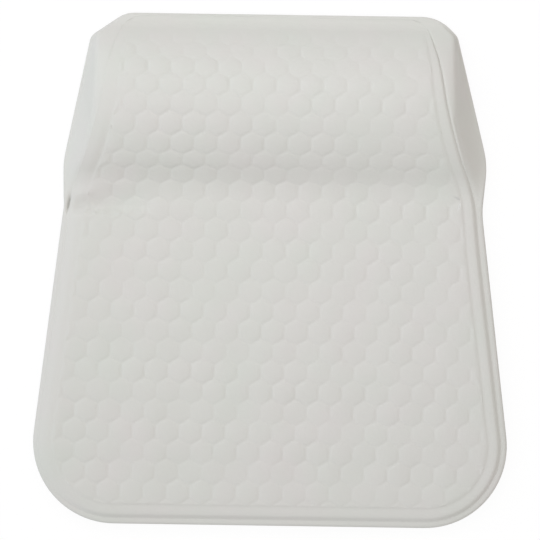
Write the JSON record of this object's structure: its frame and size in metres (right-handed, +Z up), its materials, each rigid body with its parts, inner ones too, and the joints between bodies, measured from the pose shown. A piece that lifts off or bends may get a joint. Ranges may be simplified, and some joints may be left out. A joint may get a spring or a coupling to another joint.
{
  "type": "bath pillow",
  "caption": "Padded bath mat with a raised half-round headrest in embossed off-white vinyl, folding at its crease, held to the tub by suction cups underneath.",
  "frame": {"origin": "under the middle of the outline, at the level of the cups' lips", "axes": "+Y from the foot edge of the mat to the back of the headrest, +Z up out of the padded face, +X to the right"},
  "size_m": [0.3298, 0.356, 0.0411],
  "materials": {
    "embossed_vinyl": "satin",
    "backing_vinyl": "satin",
    "foam": "matte",
    "cup_rubber": "satin"
  },
  "bodies": {
    "mat": {"mat_base_sheet": "backing_vinyl", "mat_foam_pad": "foam", "mat_face_sheet": "embossed_vinyl", "mat_cup_1_1": "cup_rubber", "mat_cup_1_2": "cup_rubber", "mat_cup_1_3": "cup_rubber", "mat_cup_1_4": "cup_rubber", "mat_cup_1_5": "cup_rubber", "mat_cup_1_6": "cup_rubber", "mat_cup_2_1": "cup_rubber", "mat_cup_2_2": "cup_rubber", "mat_cup_2_3": "cup_rubber", "mat_cup_2_4": "cup_rubber", "mat_cup_2_5": "cup_rubber", "mat_cup_2_6": "cup_rubber", "mat_cup_3_1": "cup_rubber", "mat_cup_3_2": "cup_rubber", "mat_cup_3_3": "cup_rubber", "mat_cup_3_4": "cup_rubber", "mat_cup_3_5": "cup_rubber", "mat_cup_3_6": "cup_rubber", "mat_cup_4_1": "cup_rubber", "mat_cup_4_2": "cup_rubber", "mat_cup_4_3": "cup_rubber", "mat_cup_4_4": "cup_rubber", "mat_cup_4_5": "cup_rubber", "mat_cup_4_6": "cup_rubber", "mat_cup_5_1": "cup_rubber", "mat_cup_5_2": "cup_rubber", "mat_cup_5_3": "cup_rubber", "mat_cup_5_4": "cup_rubber", "mat_cup_5_5": "cup_rubber", "mat_cup_5_6": "cup_rubber"},
    "headrest": {"headrest_base_sheet": "backing_vinyl", "headrest_foam_core": "foam", "headrest_face_sheet": "embossed_vinyl", "left_gusset": "embossed_vinyl", "right_gusset": "embossed_vinyl", "headrest_cup_1_1": "cup_rubber", "headrest_cup_1_2": "cup_rubber", "headrest_cup_1_3": "cup_rubber", "headrest_cup_1_4": "cup_rubber", "headrest_cup_1_5": "cup_rubber", "headrest_cup_1_6": "cup_rubber", "headrest_cup_2_1": "cup_rubber", "headrest_cup_2_2": "cup_rubber", "headrest_cup_2_3": "cup_rubber", "headrest_cup_2_4": "cup_rubber", "headrest_cup_2_5": "cup_rubber", "headrest_cup_2_6": "cup_rubber", "headrest_cup_3_1": "cup_rubber", "headrest_cup_3_2": "cup_rubber", "headrest_cup_3_3": "cup_rubber", "headrest_cup_3_4": "cup_rubber", "headrest_cup_3_5": "cup_rubber", "headrest_cup_3_6": "cup_rubber"}
  },
  "joints": [
    {"name": "headrest_fold", "type": "hinge", "parent": "mat", "child": "headrest", "pos_m": [0, 0.049, 0.0151], "axis": [1, 0, 0], "range_deg": [0, 110], "stiffness_Nm_per_rad": 0.2}
  ]
}
